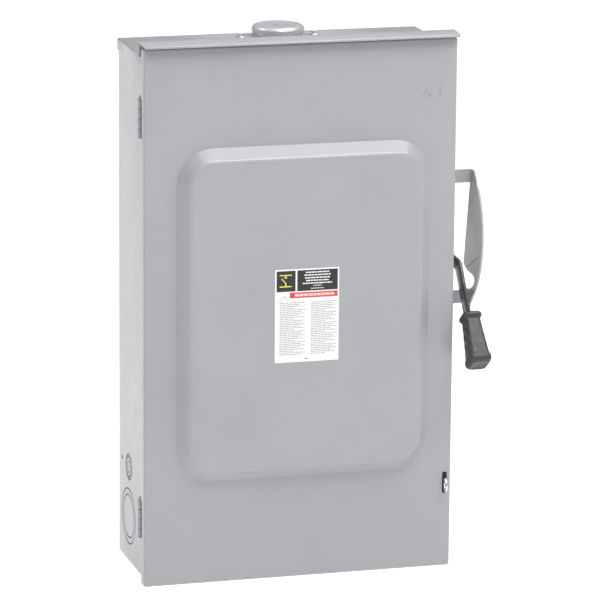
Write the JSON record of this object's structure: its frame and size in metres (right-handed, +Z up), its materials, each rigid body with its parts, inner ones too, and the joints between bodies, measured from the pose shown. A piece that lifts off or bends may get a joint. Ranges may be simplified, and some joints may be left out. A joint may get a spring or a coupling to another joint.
{
  "type": "electrical disconnect box",
  "caption": "Outdoor fusible safety switch: grey steel box with drip hood, raised-panel hinged door, side handle in a guard, and a knife switch, fuse clips, neutral and ground bars inside.",
  "frame": {"origin": "centre of the back panel's wall face", "axes": "+X to the viewer's right, +Y into the wall, +Z up; the door faces -Y"},
  "size_m": [0.474, 0.2334, 0.7425],
  "materials": {
    "gray_paint": "satin",
    "hub_casting": "satin",
    "guard_paint": "satin",
    "arm_steel": "satin",
    "zinc_steel": "bright zinc",
    "plain_steel": "satin",
    "yellow_zinc": "yellow zinc",
    "spring_steel": "oiled",
    "black_grip": "satin moulded",
    "black_base": "matt moulded",
    "red_phenolic": "semi-gloss",
    "copper": "rolled copper",
    "lug_aluminium": "satin",
    "fibre_board": "matt",
    "white_label": "printed vinyl",
    "clear_shield": "clear polycarbonate",
    "black_gasket": "matt",
    "green_screw": "green zinc"
  },
  "bodies": {
    "enclosure": {"box_wrapper": "gray_paint", "top_endwall": "gray_paint", "drip_hood": "gray_paint", "bottom_endwall": "gray_paint", "hasp_tab": "zinc_steel", "hub_gasket": "black_gasket", "hub_closing_cap": "hub_casting", "hub_screws": "zinc_steel", "upper_hinge_box_leaf": "gray_paint", "lower_hinge_box_leaf": "gray_paint", "upper_hinge_pin": "plain_steel", "lower_hinge_pin": "plain_steel", "guard_bracket": "guard_paint", "guard_rivets": "guard_paint", "shaft_bushing": "plain_steel", "mechanism_bracket": "yellow_zinc", "operating_spring": "spring_steel", "mounting_pan": "zinc_steel", "pan_screws": "zinc_steel", "rotor_bearings": "plain_steel", "line_base": "black_base", "switch_base": "black_base", "load_base": "black_base", "line_jaws": "copper", "arc_chutes": "fibre_board", "hinge_clips": "copper", "upper_fuse_clips": "copper", "lower_fuse_clips": "copper", "line_lugs": "lug_aluminium", "load_lugs": "lug_aluminium", "lug_screws": "plain_steel", "line_shield": "clear_shield", "neutral_base": "black_base", "neutral_bar": "lug_aluminium", "neutral_screws": "plain_steel", "ground_bar": "lug_aluminium", "ground_screws": "green_screw"},
    "door": {"door_panel": "gray_paint", "door_label": "white_label", "wiring_label": "white_label", "door_catch": "zinc_steel", "upper_hinge_door_leaf": "gray_paint", "lower_hinge_door_leaf": "gray_paint"},
    "handle": {"handle_arm": "arm_steel", "handle_grip": "black_grip", "grip_rivet": "plain_steel", "handle_shaft": "plain_steel", "handle_bolt": "zinc_steel", "drive_crank": "yellow_zinc", "crank_pin": "plain_steel", "interlock_hook": "yellow_zinc"},
    "link": {"connecting_link": "yellow_zinc"},
    "rotor": {"rotor_lever": "yellow_zinc", "lever_pin": "plain_steel", "rotor_shaft": "plain_steel", "rotor_bar": "red_phenolic", "spring_collar": "plain_steel", "blade_1": "copper", "blade_2": "copper", "blade_3": "copper"}
  },
  "joints": [
    {"name": "door_hinge", "type": "hinge", "parent": "enclosure", "child": "door", "pos_m": [-0.2135, -0.142, 0], "axis": [0, 0, -1], "range_deg": [0, 120]},
    {"name": "handle_turn", "type": "hinge", "parent": "enclosure", "child": "handle", "pos_m": [0.2, -0.107, 0.0865], "axis": [-1, 0, 0], "range_deg": [0, 108]},
    {"name": "link_swing", "type": "hinge", "parent": "handle", "child": "link", "pos_m": [0.1945, -0.13009, 0.09304], "axis": [-1, 0, 0], "range_deg": [-108, 0]},
    {"name": "rotor_turn", "type": "hinge", "parent": "enclosure", "child": "rotor", "pos_m": [0, -0.054, 0.106], "axis": [-1, 0, 0], "range_deg": [0, 108]}
  ],
  "couplings": [
    {"joint": "rotor_turn", "follows": "handle_turn", "ratio": 1},
    {"joint": "link_swing", "follows": "handle_turn", "ratio": -1}
  ]
}
